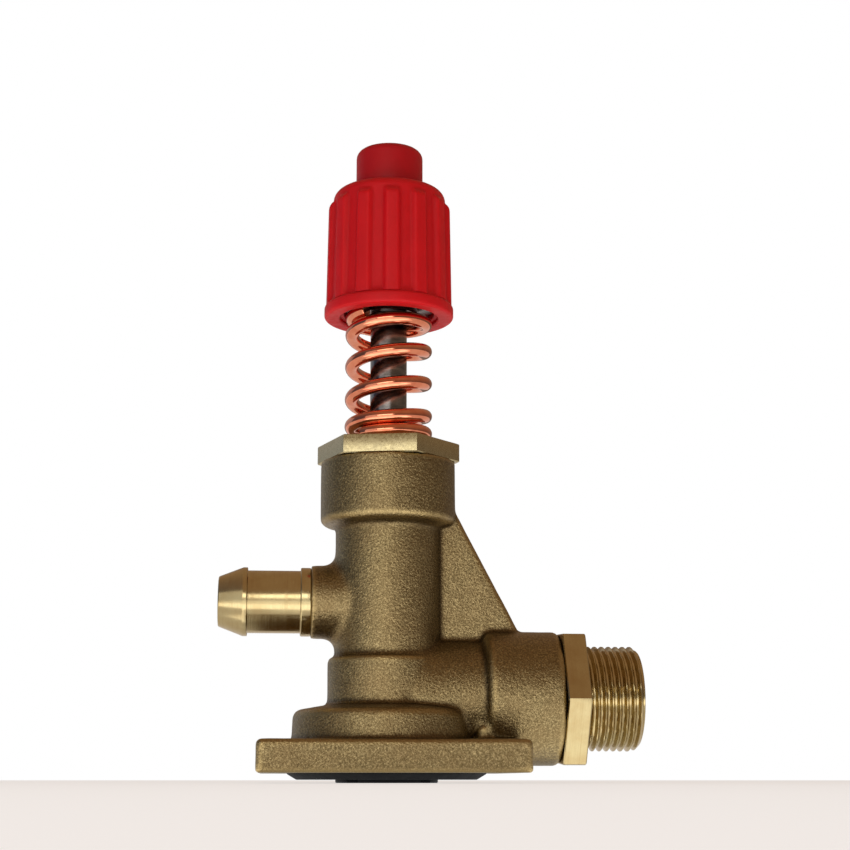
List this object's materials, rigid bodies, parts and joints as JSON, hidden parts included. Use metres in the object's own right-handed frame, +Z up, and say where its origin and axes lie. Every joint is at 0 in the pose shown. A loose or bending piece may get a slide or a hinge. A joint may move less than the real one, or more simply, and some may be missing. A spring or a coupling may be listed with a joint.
{
  "type": "unloader valve",
  "caption": "Flange-mounted pressure-regulating unloader valve of a washer pump: cast brass body, screw-down knob on a spring-loaded spindle, hose-barb bypass, threaded outlet.",
  "frame": {"origin": "on the spindle axis, in the plane of the flange's sealing face", "axes": "+Z up along the spindle towards the knob, +X towards the threaded outlet, -X towards the bypass barb"},
  "size_m": [0.0889, 0.054, 0.1394],
  "materials": {
    "cast_brass": "as cast, fine grain",
    "machined_brass": "machined and tumbled",
    "turned_brass": "turned, bright",
    "copper_spring": "steel wire with bright copper plating",
    "dark_steel": "blackened, satin",
    "steel": "plain turned",
    "red_plastic": "moulded, satin",
    "cap_plastic": "moulded, satin",
    "white_plastic": "plain",
    "black_plastic": "moulded",
    "black_rubber": "moulded"
  },
  "bodies": {
    "valve_body": {"valve_body": "cast_brass", "mounting_seal": "black_rubber", "inlet_cage": "black_plastic", "valve_seat": "steel", "seat_seal": "black_rubber", "guide_nut": "machined_brass", "guide_nut_seal": "black_rubber", "rod_backup_ring": "white_plastic", "rod_seal": "black_rubber", "rod_seal_retainer": "machined_brass", "regulator_spring": "copper_spring", "check_spring": "steel", "outlet_nipple": "turned_brass", "outlet_seal": "black_rubber", "bypass_barb": "turned_brass"},
    "spindle": {"spindle": "dark_steel", "piston_backup_ring": "white_plastic", "piston_seal": "black_rubber", "bypass_poppet": "steel", "stop_nut": "steel"},
    "spring_seat": {"upper_spring_seat": "dark_steel"},
    "knob": {"adjusting_knob": "red_plastic", "knob_insert": "machined_brass", "knob_cap": "cap_plastic"},
    "check_valve": {"check_poppet": "turned_brass", "check_seal": "black_rubber"}
  },
  "joints": [
    {"name": "spindle_stroke", "type": "slide", "parent": "valve_body", "child": "spindle", "axis": [0, 0, 1], "range_m": [-0.002, 0], "stiffness_N_per_m": 50000, "deforming": ["regulator_spring"]},
    {"name": "knob_travel", "type": "slide", "parent": "spindle", "child": "spring_seat", "axis": [0, 0, 1], "range_m": [-0.0075, 0], "deforming": ["regulator_spring"]},
    {"name": "knob_turn", "type": "hinge", "parent": "spring_seat", "child": "knob", "pos_m": [0, 0, 0.115], "axis": [0, 0, 1], "range_deg": [-2160, 0]},
    {"name": "check_lift", "type": "slide", "parent": "valve_body", "child": "check_valve", "axis": [1, 0, 0], "range_m": [0, 0.003], "stiffness_N_per_m": 400, "springref_m": -0.002, "deforming": ["check_spring"]}
  ],
  "couplings": [
    {"joint": "knob_turn", "follows": "knob_travel", "rad_per_m": 5026.5}
  ]
}
